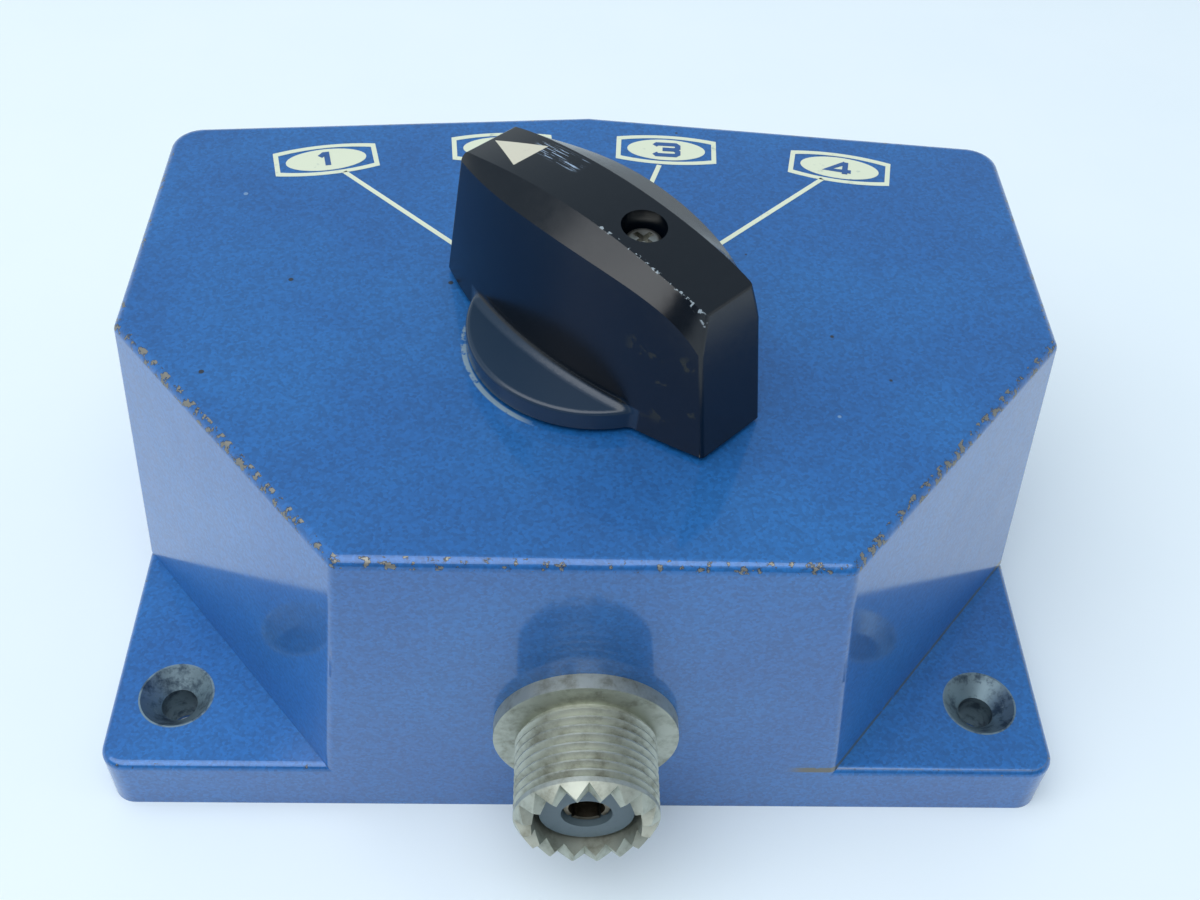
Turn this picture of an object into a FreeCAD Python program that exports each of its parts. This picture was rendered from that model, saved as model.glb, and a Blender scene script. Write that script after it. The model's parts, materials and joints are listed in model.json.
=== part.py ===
"""Four-way coaxial antenna switch: a cast housing with two ears, five coaxial connectors and a bar knob.

Millimetres. The common connector is on the front (-Y), the four ports are on the two rear facets (+Y),
and +Z is up out of the printed face. The origin is the middle of the bottom of the whole object.
"""

import FreeCAD, Part
import math
import os

V = FreeCAD.Vector

# Housing casting
BASE_WIDTH = 113.4
SIDE_DEPTH = 71.6
REAR_RISE = 5.1
HOUSING_HEIGHT = 47.2
EAR_HEIGHT = 8.3
FRONT_TOP_WIDTH = 51.4
CHAMFER_TURN_DEG = 50.0
SIDE_DRAFT_DEG = 4.1
CHAMFER_DRAFT_DEG = 4.6
WALL = 3.0
TOP_EDGE_R = 1.2
FRONT_EDGE_R = 1.3
REAR_CORNER_R = 4.0
EAR_CORNER_R = 3.0
EAR_EDGE_R = 0.9

# Ear mounting holes
EAR_HOLE_SPACING = 98.4
EAR_HOLE_INSET = 9.8
EAR_HOLE_R = 2.15
EAR_SINK_R = 4.3

# Bottom cover and its screws
COVER_THICKNESS = 1.5
COVER_RECESS = 0.2
COVER_LEDGE = 1.5
COVER_GAP = 0.15
BOSS_R = 3.5
BOSS_HEIGHT = 11.0
BOSS_BITE = 1.5
FRONT_BOSS_X = 22.0
REAR_BOSS_Y = 52.0
COVER_SCREW_R = 1.5
COVER_SCREW_HEAD_R = 2.8
COVER_SCREW_LENGTH = 8.0

# Coaxial connectors
PORT_HEIGHT = 18.2
PORT_REACH = 13.0
PORT_SIDE_MARGIN = 16.7
FLANGE_R = 10.4
FLANGE_THICKNESS = 1.85
THREAD_R = 7.94
THREAD_PITCH = 1.058
THREAD_DEPTH = 0.62
THREAD_CREST = 0.16
UNDERCUT_LENGTH = 0.3
NOSE_LENGTH = 1.9
NOSE_CONE_LENGTH = 1.5
NOSE_R = 6.95
TOOTH_COUNT = 16
TOOTH_DEPTH = 1.4
TOOTH_GAP_SHARE = 0.92
SHELL_BORE_R = 6.0
SHELL_BORE_FLOOR = 4.0
BARREL_R = 7.4
BARREL_LENGTH = 8.0
PORT_HOLE_GAP = 0.1
INSULATOR_NOSE_R = 5.15
INSULATOR_RECESS = 2.0
INSULATOR_TAIL_R = 6.3
INSULATOR_TAIL_LENGTH = 10.0
CONTACT_R = 2.5
CONTACT_ROOM = 0.3
CONTACT_RECESS = 2.7
SOCKET_R = 2.0
SOCKET_DEPTH = 8.0
SOCKET_SLOT = 0.5
CONTACT_NECK_R = 1.8
CONTACT_SHOULDER = 1.0
TAIL_R = 1.25
TAIL_END = 16.0
TAIL_FLAT_LENGTH = 4.0
WASHER_R = 9.6
WASHER_THICKNESS = 0.8
NUT_FLATS = 19.0
NUT_THICKNESS = 2.8

# Fits
PRESS_GAP = 0.02
SEAT_GAP = 0.05
RUNNING_GAP = 0.03
PLAY = 0.1

# Knob
KNOB_AXIS_Y = 32.1
KNOB_REST_DEG = 44.0
KNOB_LIFT = 0.6
KNOB_HEIGHT = 20.0
BAR_TIP_LENGTH = 20.4
BAR_TAIL_LENGTH = 20.9
BAR_TIP_DRAFT_DEG = 11.4
BAR_TAIL_DRAFT_DEG = 8.3
BAR_CROWN_R = 70.0
BAR_OVERRUN = 1.05
BAR_MIDDLE_HALF = 8.1
BAR_TIP_HALF = 3.8
BAR_TAIL_HALF = 4.5
BAR_SIDE_DRAFT = 0.055
BAR_BEVEL_DROP = 1.5
BAR_TIP_BEVEL_FADE = 2.5
BAR_TAIL_BEVEL_GAIN = 5.5
BAR_TOP_HALF = 3.7
BAR_TOP_TAPER = 0.27
BAR_CORNER_R = 0.5
SKIRT_R = 14.2
SKIRT_THICKNESS = 2.4
SKIRT_EDGE_R = 0.5
SKIRT_FOOT_R = 1.2
MARK_TIP = 16.0
MARK_BASE = 10.3
MARK_HALF = 2.5
MARK_THICKNESS = 0.3
KNOB_SCREW_OFFSET = 6.4
KNOB_SCREW_R = 1.25
KNOB_SCREW_HEAD_R = 2.0
KNOB_SCREW_HEAD_HEIGHT = 1.5
KNOB_SCREW_DOME_R = 0.6
KNOB_SCREW_SUNK = 1.9
KNOB_SCREW_HOLE_R = 2.4
CROSS_WIDTH = 0.6
CROSS_LENGTH = 2.4
CROSS_DEPTH = 0.9

# Knob hub and spindle
SPINDLE_R = 3.0
SPINDLE_FLAT = 0.7
HUB_R = 4.6
HUB_HEIGHT = 10.0
HUB_FLANGE_R = 9.5
HUB_FLANGE_THICKNESS = 1.5
HUB_RECESS = 0.2
HUB_ROOM = 0.1
SET_SCREW_R = 1.5
SET_SCREW_HEIGHT = 6.0
SET_SCREW_SUNK = 0.4
BUSHING_R = 5.0
BUSHING_FLANGE_R = 7.2
BUSHING_FLANGE_THICKNESS = 2.0

# Detent and stop
DETENT_STEP_DEG = 30.0
POSITIONS = 4
WHEEL_R = 13.0
WHEEL_THICKNESS = 3.0
THRUST_WASHER_R = 6.0
THRUST_WASHER_THICKNESS = 0.5
CLIP_R = 4.6
CLIP_THICKNESS = 0.7
CLIP_GROOVE = 0.5
CLIP_OPENING = 0.8
STOP_RADIUS = 9.0
STOP_PIN_R = 1.5
STOP_PIN_SINK = 1.5
NOTCH_R = 1.5
SPRING_NOSE_R = 1.2
SPRING_THICKNESS = 0.4
SPRING_STANDOFF = 2.4
SPRING_HALF_LENGTH = 13.0
SPRING_SCREW_X = 17.5
SPRING_SCREW_R = 1.0
SPRING_SCREW_HEAD_R = 1.9
SPRING_SCREW_HEAD_HEIGHT = 1.2
SPRING_SCREW_GRIP = 4.5
SPRING_BLOCK_WIDTH = 7.0
SPRING_BLOCK_DEPTH = 5.0

# Switching parts
STRIP_THICKNESS = 0.8
STRIP_WIDTH = 5.0
PAD_RADIUS = 24.0
PAD_R = 3.2
CONTACT_AIR = 0.05
GROUND_R = 26.5
GROUND_HUB_R = 9.0
GROUND_HALF_WINDOW_DEG = 16.0
GROUND_END_DEG = 104.0
GROUND_BORE_HALF = 1.8
BLADE_WIDTH = 6.0
BLADE_BACK = 4.0
ROTOR_R = 7.0
ROTOR_LENGTH = 5.2
TENON_LENGTH = 4.0
ROTOR_PIN_R = 0.75
STUD_R = 2.0
STUD_LENGTH = 4.4
STUD_NECK_R = 1.2
EYELET_R = 4.2
EYELET_DROP = 1.2
STUD_CLIP_R = 3.4
STUD_CLIP_THICKNESS = 0.6
STUD_GROOVE = 0.4


# Limits that pick edges and cut through walls
UPRIGHT_SHARE = 0.9
REAR_CORNER_SHARE = 0.9
PORT_CUT_WALLS = 1.5
LEVEL_GAP = 0.1

# Worked-out values
REAR_TURN = math.atan(REAR_RISE / (BASE_WIDTH / 2 - (HOUSING_HEIGHT - EAR_HEIGHT)
                                   * math.tan(math.radians(SIDE_DRAFT_DEG))))
REAR_DEPTH = SIDE_DEPTH + REAR_RISE
OUTER_PORT_X = BASE_WIDTH / 2 - PORT_SIDE_MARGIN
INNER_PORT_X = OUTER_PORT_X / 3
REAR_TIP = (REAR_DEPTH - INNER_PORT_X * math.tan(REAR_TURN) + PORT_REACH * math.cos(REAR_TURN)
            + NOSE_R * math.sin(REAR_TURN))
MIDDLE_Y = (REAR_TIP - PORT_REACH) / 2
FRONT_Y = -MIDDLE_Y
AXIS = V(0, FRONT_Y + KNOB_AXIS_Y, 0)
CEILING = HOUSING_HEIGHT - WALL
COVER_TOP = COVER_RECESS + COVER_THICKNESS
KNOB_BOTTOM = HOUSING_HEIGHT + KNOB_LIFT
KNOB_TOP = KNOB_BOTTOM + KNOB_HEIGHT
BUSHING_BOTTOM = CEILING - BUSHING_FLANGE_THICKNESS
WASHER_BOTTOM = BUSHING_BOTTOM - PLAY - THRUST_WASHER_THICKNESS
WHEEL_BOTTOM = WASHER_BOTTOM - WHEEL_THICKNESS
HUB_BOTTOM = KNOB_BOTTOM + HUB_RECESS
STRIP_BOTTOM = PORT_HEIGHT
STRIP_TOP = STRIP_BOTTOM + STRIP_THICKNESS
GROUND_BOTTOM = STRIP_TOP + CONTACT_AIR
GROUND_TOP = GROUND_BOTTOM + STRIP_THICKNESS
BLADE_TOP = STRIP_BOTTOM - CONTACT_AIR
ROTOR_BOTTOM = GROUND_BOTTOM - ROTOR_LENGTH
STUD_TOP = ROTOR_BOTTOM - STRIP_THICKNESS
EYELET_TOP = STUD_TOP - EYELET_DROP
TURN_TOTAL_DEG = DETENT_STEP_DEG * (POSITIONS - 1)


def cylinder(radius, bottom, top, at=V(0, 0, 0)):
    """Upright cylinder between two heights."""
    return Part.makeCylinder(radius, top - bottom, V(at.x, at.y, bottom))


def tube(outer, inner, bottom, top, at=V(0, 0, 0)):
    """Upright tube between two heights."""
    return cylinder(outer, bottom, top, at).cut(cylinder(inner, bottom, top, at))


def block(x0, x1, y0, y1, z0, z1):
    """Rectangular block between two corners."""
    return Part.makeBox(x1 - x0, y1 - y0, z1 - z0, V(x0, y0, z0))


def wire(points):
    """Closed wire through points."""
    return Part.makePolygon(list(points) + [points[0]])


def prism(points, height, direction=V(0, 0, 1)):
    """Straight prism on a closed outline of points."""
    return Part.Face(wire(points)).extrude(direction * height)


def turned(profile):
    """Solid of revolution about Z from (radius, height) points."""
    face = Part.Face(wire([V(r, 0, z) for r, z in profile]))
    return face.revolve(V(0, 0, 0), V(0, 0, 1), 360)


def spun(shape, degrees, at=V(0, 0, 0)):
    """Copy of a shape turned about an upright line."""
    copy = shape.copy()
    copy.rotate(at, V(0, 0, 1), degrees)
    return copy


def moved(shape, offset):
    """Copy of a shape at an offset."""
    copy = shape.copy()
    copy.translate(offset)
    return copy


def save(name, shape):
    """Write one piece, and report its volume."""
    if not shape.isValid():
        print("invalid", name)
    shape.exportStep(os.path.join("parts", name + ".step"))
    print(f"{name:24s} solids {len(shape.Solids)} volume {shape.Volume:10.2f}")


# Housing

def crossing(first, second):
    """Point where two plan lines meet, each given as (normal angle, distance from the origin)."""
    (a, p), (b, q) = first, second
    det = math.sin(b - a)
    x = (p * math.sin(b) - q * math.sin(a)) / det
    y = (q * math.cos(a) - p * math.cos(b)) / det
    return x, y


def side_lines(height, inset):
    """Front, chamfer, side and rear lines of the right half, as (normal angle, distance)."""
    rise = HOUSING_HEIGHT - max(height, EAR_HEIGHT)
    slope = math.radians(CHAMFER_TURN_DEG)
    flare = rise * math.tan(math.radians(CHAMFER_DRAFT_DEG))
    chamfer = FRONT_TOP_WIDTH / 2 * math.sin(slope) + flare
    half = BASE_WIDTH / 2 - (HOUSING_HEIGHT - EAR_HEIGHT - rise) * math.tan(math.radians(SIDE_DRAFT_DEG))
    front = (-math.pi / 2, -inset)
    angled = (slope - math.pi / 2, chamfer - inset)
    side = (0.0, half - inset)
    rear = (math.pi / 2 - REAR_TURN, REAR_DEPTH * math.cos(REAR_TURN) - inset)
    return front, angled, side, rear


def outline(height, inset=0.0, eared=False):
    """Plan of the housing at a height, drawn in by an inset. With ears it keeps its front corners."""
    front, angled, side, rear = side_lines(height, inset)
    lines = [front, side, rear] if eared else [front, angled, side, rear]
    right = [crossing(a, b) for a, b in zip(lines, lines[1:])]
    apex = (0.0, REAR_DEPTH - inset / math.cos(REAR_TURN))
    left = [(-x, y) for x, y in reversed(right)]
    return [V(x, y + FRONT_Y, height) for x, y in right + [apex] + left]


def upright_edges(shape, test):
    """Upright or near-upright edges whose middle passes a test."""
    found = []
    for edge in shape.Edges:
        start, end = edge.Vertexes[0].Point, edge.Vertexes[-1].Point
        span = end - start
        if span.Length > 1 and abs(span.z) / span.Length > UPRIGHT_SHARE and test((start + end) / 2):
            found.append(edge)
    return found


def rear_y(x):
    """Plan depth of the rear facets at a distance from the middle."""
    return REAR_DEPTH + FRONT_Y - abs(x) * math.tan(REAR_TURN)


def upper_body():
    """Drafted body between the ears' level and the printed face, with its edges rounded."""
    walls = [wire(outline(EAR_HEIGHT)), wire(outline(HOUSING_HEIGHT))]
    solid = Part.makeLoft(walls, True, True)
    rear_limit = FRONT_Y + SIDE_DEPTH * REAR_CORNER_SHARE
    corners = upright_edges(solid, lambda m: m.y > rear_limit and abs(m.x) > 1)
    solid = solid.makeFillet(REAR_CORNER_R, corners)
    fronts = upright_edges(solid, lambda m: m.y < rear_limit)
    solid = solid.makeFillet(FRONT_EDGE_R, fronts)
    top = [e for e in solid.Edges if all(abs(v.Z - HOUSING_HEIGHT) < 1e-4 for v in e.Vertexes)]
    return solid.makeFillet(TOP_EDGE_R, top)


def lower_body(upper):
    """Straight band under the upper body, down to the resting face."""
    foot = min(upper.Faces, key=lambda f: f.CenterOfMass.z)
    return foot.extrude(V(0, 0, -EAR_HEIGHT))


def ear(side):
    """One ear, reaching into the body, with a rounded corner and a sunk hole."""
    reach = SIDE_DEPTH / 2
    half = BASE_WIDTH / 2
    inner = FRONT_TOP_WIDTH / 2
    plan = [V(inner, FRONT_Y, 0), V(half, FRONT_Y, 0), V(half, FRONT_Y + reach, 0)]
    solid = prism(plan, EAR_HEIGHT)
    corner = upright_edges(solid, lambda m: m.x > half - 1 and m.y < FRONT_Y + 1)
    solid = solid.makeFillet(EAR_CORNER_R, corner)
    rim = [e for e in solid.Edges if all(abs(v.Z - EAR_HEIGHT) < 1e-4 for v in e.Vertexes)
           and (e.CenterOfMass.x > half - EAR_CORNER_R or e.CenterOfMass.y < FRONT_Y + EAR_CORNER_R)]
    solid = solid.makeFillet(EAR_EDGE_R, rim)
    at = V(EAR_HOLE_SPACING / 2, FRONT_Y + EAR_HOLE_INSET, 0)
    sink = Part.makeCone(EAR_HOLE_R, EAR_SINK_R, EAR_SINK_R - EAR_HOLE_R,
                         V(at.x, at.y, EAR_HEIGHT - EAR_SINK_R + EAR_HOLE_R))
    solid = solid.cut(cylinder(EAR_HOLE_R, 0, EAR_HEIGHT, at)).cut(sink)
    return solid if side > 0 else solid.mirror(V(0, 0, 0), V(1, 0, 0))


def boss_places():
    """Where the four cover screws stand."""
    side = BASE_WIDTH / 2 - WALL - BOSS_R + BOSS_BITE
    front = FRONT_Y + WALL + BOSS_R - BOSS_BITE
    for x in (-1, 1):
        yield V(x * FRONT_BOSS_X, front, 0)
        yield V(x * side, FRONT_Y + REAR_BOSS_Y, 0)


def spring_block():
    """Block under the ceiling that the detent spring is screwed to."""
    near = AXIS.y + WHEEL_R + SPRING_STANDOFF + SPRING_THICKNESS
    low = WHEEL_BOTTOM
    return block(SPRING_SCREW_X - SPRING_BLOCK_WIDTH / 2, SPRING_SCREW_X + SPRING_BLOCK_WIDTH / 2,
                 near, near + SPRING_BLOCK_DEPTH, low, CEILING + WALL / 2)


def housing():
    """Cast shell: walls, ears, bosses, spring block and all its holes."""
    upper = upper_body()
    solid = upper.fuse(lower_body(upper))
    for side in (-1, 1):
        solid = solid.fuse(ear(side))
    solid = solid.removeSplitter()
    low = [wire([V(p.x, p.y, 0) for p in outline(0, WALL)]), wire(outline(EAR_HEIGHT, WALL))]
    high = [wire(outline(EAR_HEIGHT, WALL)), wire([V(p.x, p.y, CEILING) for p in outline(CEILING, WALL)])]
    cavity = Part.makeLoft(low, True, True).fuse(Part.makeLoft(high, True, True))
    ledge = prism([V(p.x, p.y, 0) for p in outline(0, WALL - COVER_LEDGE)], COVER_TOP)
    bosses = [cylinder(BOSS_R, COVER_TOP, COVER_TOP + BOSS_HEIGHT, at) for at in boss_places()]
    room = cavity
    for piece in bosses:
        room = room.cut(piece)
    room = room.cut(spring_block())
    solid = solid.cut(room).cut(ledge)
    for at in boss_places():
        solid = solid.cut(cylinder(COVER_SCREW_R + PRESS_GAP, COVER_TOP,
                                   COVER_TOP + COVER_SCREW_LENGTH, at))
    for place in port_places():
        solid = solid.cut(at_port(cylinder(BARREL_R + PORT_HOLE_GAP, -WALL * PORT_CUT_WALLS, WALL / 2), place))
    solid = solid.cut(cylinder(BUSHING_R + PRESS_GAP, CEILING - 1, HOUSING_HEIGHT, AXIS))
    solid = solid.cut(cylinder(STOP_PIN_R + PRESS_GAP, CEILING - 1, CEILING + STOP_PIN_SINK, stop_place()))
    return solid.cut(spring_screw_shape(PRESS_GAP))


def bottom_cover():
    """Flat cover in the ledge, with sunk screw holes."""
    plan = [V(p.x, p.y, COVER_RECESS) for p in outline(0, WALL - COVER_LEDGE + COVER_GAP)]
    solid = prism(plan, COVER_THICKNESS)
    for at in boss_places():
        solid = solid.cut(cover_screw(at, COVER_GAP))
    return solid


def cover_screw(at, room=0.0):
    """Sunk cross-head screw, drawn larger by a room where it makes a hole."""
    head = COVER_SCREW_HEAD_R + room
    shank = COVER_SCREW_R + room
    profile = [(0, 0), (head, 0), (shank, head - shank), (shank, COVER_SCREW_LENGTH), (0, COVER_SCREW_LENGTH)]
    solid = moved(turned(profile), V(at.x, at.y, COVER_RECESS))
    return solid if room else solid.cut(cross(at, COVER_RECESS, 1))


def cross(at, face, into):
    """Cross recess cut into a screw head from a face, up (1) or down (-1)."""
    low, high = sorted((face, face + into * CROSS_DEPTH))
    half = CROSS_LENGTH / 2
    arm = block(-half, half, -CROSS_WIDTH / 2, CROSS_WIDTH / 2, low, high)
    return moved(arm.fuse(spun(arm, 90)), V(at.x, at.y, 0))


# Connectors

def port_places():
    """Face point and outward turn of each connector: the common one, then ports 1 to 4."""
    yield "common", V(0, FRONT_Y, PORT_HEIGHT), 0.0
    for number, x in enumerate((-OUTER_PORT_X, -INNER_PORT_X, INNER_PORT_X, OUTER_PORT_X), 1):
        lean = math.degrees(REAR_TURN) * (1 if x < 0 else -1)
        yield f"port_{number}", V(x, rear_y(x), PORT_HEIGHT), 180.0 + lean


def at_port(shape, place):
    """Stand a connector piece, built along +Z out of the face, on its place on the wall."""
    _, point, turn = place
    copy = shape.copy()
    copy.rotate(V(0, 0, 0), V(1, 0, 0), 90)
    copy.rotate(V(0, 0, 0), V(0, 0, 1), turn)
    copy.translate(point)
    return copy


def thread_ridges():
    """Radius and height pairs of the thread, from the undercut to the nose."""
    start = FLANGE_THICKNESS + UNDERCUT_LENGTH
    count = int((PORT_REACH - NOSE_LENGTH - start) / THREAD_PITCH)
    root = THREAD_R - THREAD_DEPTH
    points = []
    for turn in range(count):
        foot = start + turn * THREAD_PITCH
        middle = foot + THREAD_PITCH / 2
        points += [(root, foot), (THREAD_R, middle - THREAD_CREST / 2), (THREAD_R, middle + THREAD_CREST / 2)]
    return points + [(root, start + count * THREAD_PITCH)]


def port_shell():
    """Threaded shell with its flange, toothed nose and inner barrel."""
    root = THREAD_R - THREAD_DEPTH
    web = INSULATOR_NOSE_R + SEAT_GAP
    back = INSULATOR_TAIL_R + SEAT_GAP
    ridges = thread_ridges()
    collar = ridges[-1][1] + THREAD_DEPTH / 2
    profile = [(back, -BARREL_LENGTH), (BARREL_R, -BARREL_LENGTH), (BARREL_R, 0), (FLANGE_R, 0),
               (FLANGE_R, FLANGE_THICKNESS), (root, FLANGE_THICKNESS)]
    profile += ridges
    profile += [(THREAD_R, collar), (THREAD_R, PORT_REACH - NOSE_CONE_LENGTH), (NOSE_R, PORT_REACH),
                (SHELL_BORE_R, PORT_REACH), (SHELL_BORE_R, SHELL_BORE_FLOOR), (web, SHELL_BORE_FLOOR),
                (web, 0), (back, 0)]
    solid = turned(profile)
    half = math.pi * NOSE_R / TOOTH_COUNT * TOOTH_GAP_SHARE
    notch = prism([V(0, -half, PORT_REACH), V(0, 0, PORT_REACH - TOOTH_DEPTH), V(0, half, PORT_REACH)],
                  THREAD_R, V(1, 0, 0))
    for number in range(TOOTH_COUNT):
        solid = solid.cut(spun(notch, 360 / TOOTH_COUNT * number))
    return solid


def port_insulator():
    """Grey insulator, stepped, with a wide hole round the contact."""
    nose = PORT_REACH - INSULATOR_RECESS
    hole = CONTACT_R + CONTACT_ROOM
    neck = CONTACT_NECK_R + SEAT_GAP
    return turned([(neck, -INSULATOR_TAIL_LENGTH), (INSULATOR_TAIL_R, -INSULATOR_TAIL_LENGTH),
                   (INSULATOR_TAIL_R, 0), (INSULATOR_NOSE_R, 0), (INSULATOR_NOSE_R, nose), (hole, nose),
                   (hole, CONTACT_SHOULDER), (neck, CONTACT_SHOULDER)])


def port_contact():
    """Slotted socket contact with a flat solder tail."""
    front = PORT_REACH - CONTACT_RECESS
    solid = turned([(0, -TAIL_END), (TAIL_R, -TAIL_END), (TAIL_R, -INSULATOR_TAIL_LENGTH),
                    (CONTACT_NECK_R, -INSULATOR_TAIL_LENGTH), (CONTACT_NECK_R, CONTACT_SHOULDER),
                    (CONTACT_R, CONTACT_SHOULDER), (CONTACT_R, front), (SOCKET_R, front),
                    (SOCKET_R, front - SOCKET_DEPTH), (0, front - SOCKET_DEPTH)])
    half = SOCKET_SLOT / 2
    slot = block(-CONTACT_R, CONTACT_R, -half, half, front - SOCKET_DEPTH, front)
    solid = solid.cut(spun(slot, 45)).cut(spun(slot, -45))
    return solid.cut(block(-TAIL_R, TAIL_R, 0, TAIL_R, -TAIL_END, TAIL_FLAT_LENGTH - TAIL_END))


def port_washer():
    """Flat washer behind the wall."""
    return tube(WASHER_R, BARREL_R + PORT_HOLE_GAP, -WALL - WASHER_THICKNESS, -WALL)


def port_nut():
    """Hexagon nut on the barrel."""
    corner = NUT_FLATS / 2 / math.cos(math.pi / 6)
    top = -WALL - WASHER_THICKNESS
    plan = [V(corner * math.cos(math.pi / 3 * k), corner * math.sin(math.pi / 3 * k), top - NUT_THICKNESS)
            for k in range(6)]
    return prism(plan, NUT_THICKNESS).cut(cylinder(BARREL_R + SEAT_GAP, top - NUT_THICKNESS, top))


def save_ports():
    """Write the five pieces of each of the five connectors."""
    pieces = {"shell": port_shell(), "insulator": port_insulator(), "contact": port_contact(),
              "washer": port_washer(), "nut": port_nut()}
    for place in port_places():
        for piece, shape in pieces.items():
            save(f"{place[0]}_{piece}", at_port(shape, place))


# Knob

def at_knob(shape):
    """Stand a knob piece, built with its pointer along +X, on the axis at its rest turn."""
    return moved(spun(shape, 90 + KNOB_REST_DEG), AXIS)


def bar_section(s):
    """Cross-section of the bar at a distance along it, positive towards its tip."""
    if s > 0:
        share = (s / BAR_TIP_LENGTH) ** 2
        low = BAR_MIDDLE_HALF - (BAR_MIDDLE_HALF - BAR_TIP_HALF) * share
        drop = BAR_BEVEL_DROP / (1 + BAR_TIP_BEVEL_FADE * share ** 3)
    else:
        share = (s / BAR_TAIL_LENGTH) ** 2
        low = BAR_MIDDLE_HALF - (BAR_MIDDLE_HALF - BAR_TAIL_HALF) * share
        drop = BAR_BEVEL_DROP + BAR_TAIL_BEVEL_GAIN * share ** 3
    crown = KNOB_TOP - s * s / (2 * BAR_CROWN_R)
    shoulder = crown - drop
    high = low - BAR_SIDE_DRAFT * (shoulder - KNOB_BOTTOM)
    top_half = BAR_TOP_HALF * (1 - BAR_TOP_TAPER * share ** 4)
    half = [(low, KNOB_BOTTOM), (high, shoulder), (top_half, crown)]
    points = [V(s, y, z) for y, z in half] + [V(s, -y, z) for y, z in reversed(half)]
    return wire(points)


def bar():
    """Bowed grip bar with an arched, bevelled top and leaning ends."""
    stations = [(BAR_TIP_LENGTH if k > 0 else BAR_TAIL_LENGTH) * BAR_OVERRUN * k / 5 for k in range(-5, 6)]
    solid = Part.makeLoft([bar_section(s) for s in stations], True, False)
    wide = BAR_MIDDLE_HALF * 2
    ends = ((1, BAR_TIP_LENGTH, BAR_TIP_DRAFT_DEG), (-1, BAR_TAIL_LENGTH, BAR_TAIL_DRAFT_DEG))
    for side, length, draft in ends:
        lean = math.tan(math.radians(draft)) * KNOB_HEIGHT
        low, high = side * length, side * (length - lean)
        out = side * length * 2
        plan = [V(low, -wide, KNOB_BOTTOM), V(high, -wide, KNOB_TOP), V(high, -wide, KNOB_TOP + 1),
                V(out, -wide, KNOB_TOP + 1), V(out, -wide, KNOB_BOTTOM - 1), V(low, -wide, KNOB_BOTTOM - 1)]
        solid = solid.cut(prism(plan, wide * 2, V(0, 1, 0)))
    return solid


def knob_blank():
    """Bar and skirt in one, with rounded edges, before the holes."""
    grip = bar()
    far = BAR_TIP_LENGTH / 2
    low_end = KNOB_TOP - BAR_TAIL_LENGTH ** 2 / (2 * BAR_CROWN_R)
    ends = [e for e in grip.Edges if e.CenterOfMass.z > low_end
            and abs(e.CenterOfMass.x) > far and e.BoundBox.YLength > BAR_TOP_HALF]
    grip = grip.makeFillet(BAR_CORNER_R, ends + upright_edges(grip, lambda m: abs(m.x) > far))
    top = KNOB_BOTTOM + SKIRT_THICKNESS
    skirt = cylinder(SKIRT_R, KNOB_BOTTOM, top)
    rim = [e for e in skirt.Edges if abs(e.CenterOfMass.z - top) < 1e-3]
    skirt = skirt.makeFillet(SKIRT_EDGE_R, rim)
    solid = grip.fuse(skirt).removeSplitter()
    feet = [e for e in solid.Edges if abs(e.BoundBox.ZMin - top) < LEVEL_GAP and e.BoundBox.ZLength < LEVEL_GAP
            and not isinstance(e.Curve, Part.Circle)]
    return solid.makeFillet(SKIRT_FOOT_R, feet)


def knob():
    """Moulded knob with its hub pocket, screw hole and mark recess."""
    solid = knob_blank()
    hub_top = HUB_BOTTOM + HUB_HEIGHT + HUB_ROOM
    flange_top = HUB_BOTTOM + HUB_FLANGE_THICKNESS
    solid = solid.cut(cylinder(HUB_FLANGE_R + HUB_ROOM, KNOB_BOTTOM, flange_top))
    solid = solid.cut(cylinder(HUB_R + HUB_ROOM, KNOB_BOTTOM, hub_top))
    at = V(-KNOB_SCREW_OFFSET, 0, 0)
    seat = KNOB_TOP - KNOB_SCREW_SUNK - KNOB_SCREW_HEAD_HEIGHT
    solid = solid.cut(cylinder(KNOB_SCREW_HOLE_R, seat, KNOB_TOP + 1, at))
    solid = solid.cut(cylinder(KNOB_SCREW_R + HUB_ROOM, KNOB_BOTTOM, seat, at))
    return solid.cut(pointer_mark())


def pointer_mark():
    """White triangle let into the arched top, its apex towards the tip."""
    blank = knob_blank()
    sunk = blank.copy()
    sunk.translate(V(0, 0, -MARK_THICKNESS))
    under = KNOB_TOP - KNOB_HEIGHT / 4
    plan = [V(MARK_TIP, 0, under), V(MARK_BASE, MARK_HALF, under), V(MARK_BASE, -MARK_HALF, under)]
    return prism(plan, KNOB_HEIGHT / 4).common(blank).cut(sunk)


def knob_screw():
    """Cross-head screw sunk in the bar, down into the hub flange."""
    at = V(-KNOB_SCREW_OFFSET, 0, 0)
    head_top = KNOB_TOP - KNOB_SCREW_SUNK
    seat = head_top - KNOB_SCREW_HEAD_HEIGHT
    head = cylinder(KNOB_SCREW_HEAD_R, seat, head_top, at)
    rim = [e for e in head.Edges if abs(e.CenterOfMass.z - head_top) < 1e-3]
    head = head.makeFillet(KNOB_SCREW_DOME_R, rim)
    shank = cylinder(KNOB_SCREW_R, HUB_BOTTOM, seat, at)
    return head.fuse(shank).cut(cross(at, head_top, -1))


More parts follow.
